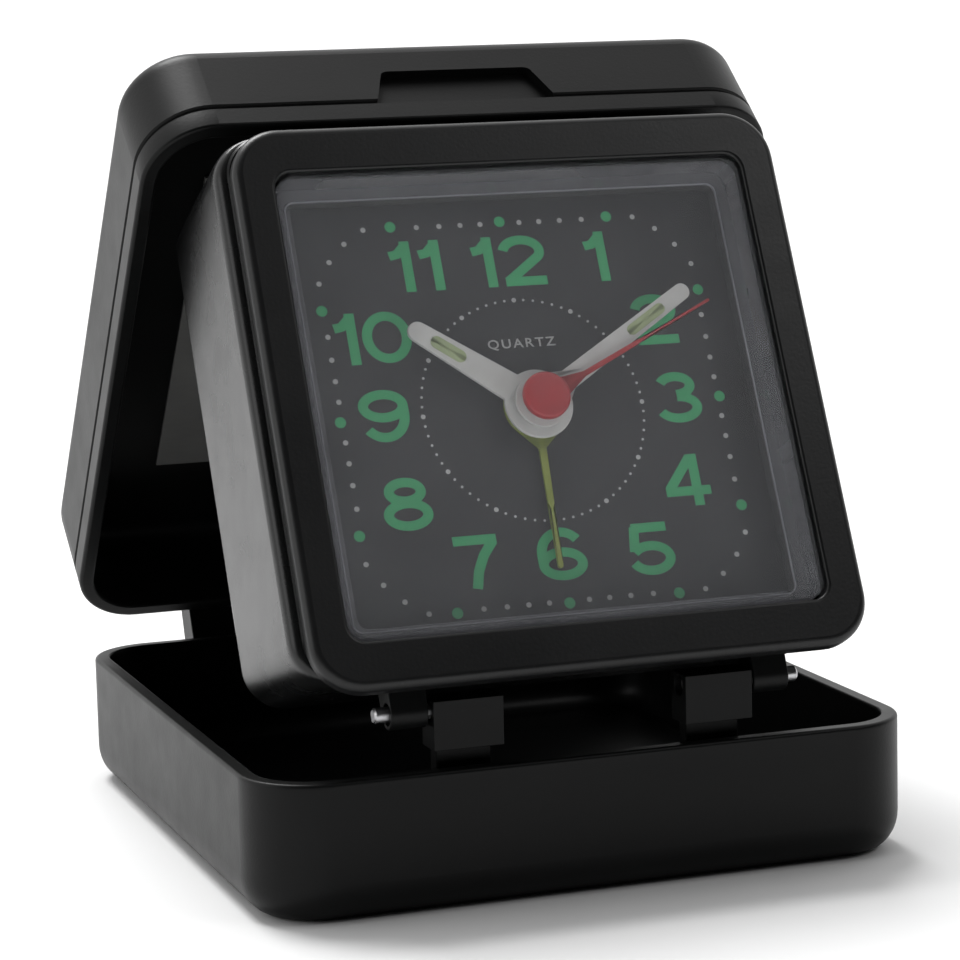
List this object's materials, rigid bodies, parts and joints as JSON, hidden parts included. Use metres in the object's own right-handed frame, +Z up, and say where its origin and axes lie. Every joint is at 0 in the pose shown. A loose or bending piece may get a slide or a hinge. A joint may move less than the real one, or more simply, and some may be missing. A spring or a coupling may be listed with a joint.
{
  "type": "travel alarm clock",
  "caption": "Folding travel alarm clock: square quartz clock head with hands and alarm, swung up from a tray base on a front hinge, with a hinged lid standing open behind it.",
  "frame": {"origin": "centre of the tray's flat underside", "axes": "+Z up, -Y towards the dial side, +X to the right of someone who reads the dial"},
  "size_m": [0.075, 0.0955, 0.0884],
  "materials": {
    "black_plastic": "fine-grained satin black moulding",
    "clear_plastic": "clear polished",
    "dial_paint": "dark grey print",
    "white_paint": "white painted, pale luminous insert",
    "red_paint": "red satin",
    "lime_paint": "yellow-green painted",
    "steel": "plain",
    "brass": "plain",
    "copper": "enamelled copper winding",
    "natural_plastic": "uncoloured moulding",
    "board_green": "circuit board",
    "paper": "printed paper label",
    "cell_wrap": "printed wrap"
  },
  "bodies": {
    "base": {"base_tray": "black_plastic", "lid_hinge_pin": "steel", "hinge_pin_left": "steel", "hinge_pin_right": "steel"},
    "lid": {"lid_shell": "black_plastic", "lid_label": "paper"},
    "clock_head": {"bezel": "black_plastic", "crystal": "clear_plastic", "dial_surround": "dial_paint", "dial": "dial_paint", "rear_case": "black_plastic", "case_screw_1": "steel", "case_screw_2": "steel", "case_screw_3": "steel", "case_screw_4": "steel", "battery_cell": "cell_wrap", "battery_spring": "steel", "battery_contact": "steel", "movement_front": "natural_plastic", "movement_back": "natural_plastic", "circuit_board": "board_green", "coil": "copper", "stator": "steel", "buzzer": "brass"},
    "door": {"battery_door": "black_plastic"},
    "switch": {"alarm_switch": "red_paint"},
    "second_arbor": {"second_wheel": "natural_plastic", "second_hand": "red_paint", "second_cap": "red_paint"},
    "intermediate": {"intermediate_wheel": "natural_plastic"},
    "rotor_arbor": {"rotor": "steel"},
    "minute_arbor": {"minute_wheel": "brass", "minute_hand": "white_paint"},
    "hour_arbor": {"hour_wheel": "natural_plastic", "hour_hand": "white_paint"},
    "time_setter": {"motion_wheel": "natural_plastic", "time_set_knob": "black_plastic"},
    "alarm_arbor": {"alarm_wheel": "natural_plastic", "alarm_hand": "lime_paint"},
    "alarm_setter": {"alarm_pinion": "natural_plastic", "alarm_set_knob": "black_plastic"}
  },
  "joints": [
    {"name": "lid_hinge", "type": "hinge", "parent": "base", "child": "lid", "pos_m": [0, 0.0446, 0.0121], "axis": [-1, 0, 0], "range_deg": [0, 60]},
    {"name": "head_hinge", "type": "hinge", "parent": "base", "child": "clock_head", "pos_m": [0, -0.03625, 0.0208], "axis": [1, 0, 0], "range_deg": [-64, 0]},
    {"name": "battery_door_slide", "type": "slide", "parent": "clock_head", "child": "door", "axis": [0, -0.4384, -0.8988], "range_m": [0, 0.0025]},
    {"name": "alarm_switch_slide", "type": "slide", "parent": "clock_head", "child": "switch", "axis": [0, -0.4384, -0.8988], "range_m": [0, 0.004]},
    {"name": "second_turn", "type": "hinge", "parent": "clock_head", "child": "second_arbor", "pos_m": [0, -0.01886, 0.04818], "axis": [0, 0.8988, -0.4384], "continuous": true},
    {"name": "intermediate_turn", "type": "hinge", "parent": "clock_head", "child": "intermediate", "pos_m": [0, -0.01121, 0.05246], "axis": [0, 0.8988, -0.4384], "continuous": true},
    {"name": "rotor_turn", "type": "hinge", "parent": "clock_head", "child": "rotor_arbor", "pos_m": [0, -0.00678, 0.05698], "axis": [0, 0.8988, -0.4384], "continuous": true},
    {"name": "minute_turn", "type": "hinge", "parent": "clock_head", "child": "minute_arbor", "pos_m": [0, -0.01886, 0.04818], "axis": [0, 0.8988, -0.4384], "continuous": true},
    {"name": "hour_turn", "type": "hinge", "parent": "clock_head", "child": "hour_arbor", "pos_m": [0, -0.01886, 0.04818], "axis": [0, 0.8988, -0.4384], "continuous": true},
    {"name": "time_set_turn", "type": "hinge", "parent": "clock_head", "child": "time_setter", "pos_m": [-0.00651, -0.01232, 0.05017], "axis": [0, 0.8988, -0.4384], "continuous": true},
    {"name": "alarm_turn", "type": "hinge", "parent": "clock_head", "child": "alarm_arbor", "pos_m": [0, -0.01886, 0.04818], "axis": [0, 0.8988, -0.4384], "continuous": true},
    {"name": "alarm_set_turn", "type": "hinge", "parent": "clock_head", "child": "alarm_setter", "pos_m": [0.00651, -0.01232, 0.05017], "axis": [0, 0.8988, -0.4384], "continuous": true}
  ],
  "couplings": [
    {"joint": "intermediate_turn", "follows": "second_turn", "ratio": -5},
    {"joint": "rotor_turn", "follows": "second_turn", "ratio": 25},
    {"joint": "hour_turn", "follows": "minute_turn", "ratio": 0.083333},
    {"joint": "time_set_turn", "follows": "minute_turn", "ratio": -0.33333},
    {"joint": "alarm_set_turn", "follows": "alarm_turn", "ratio": -3}
  ]
}
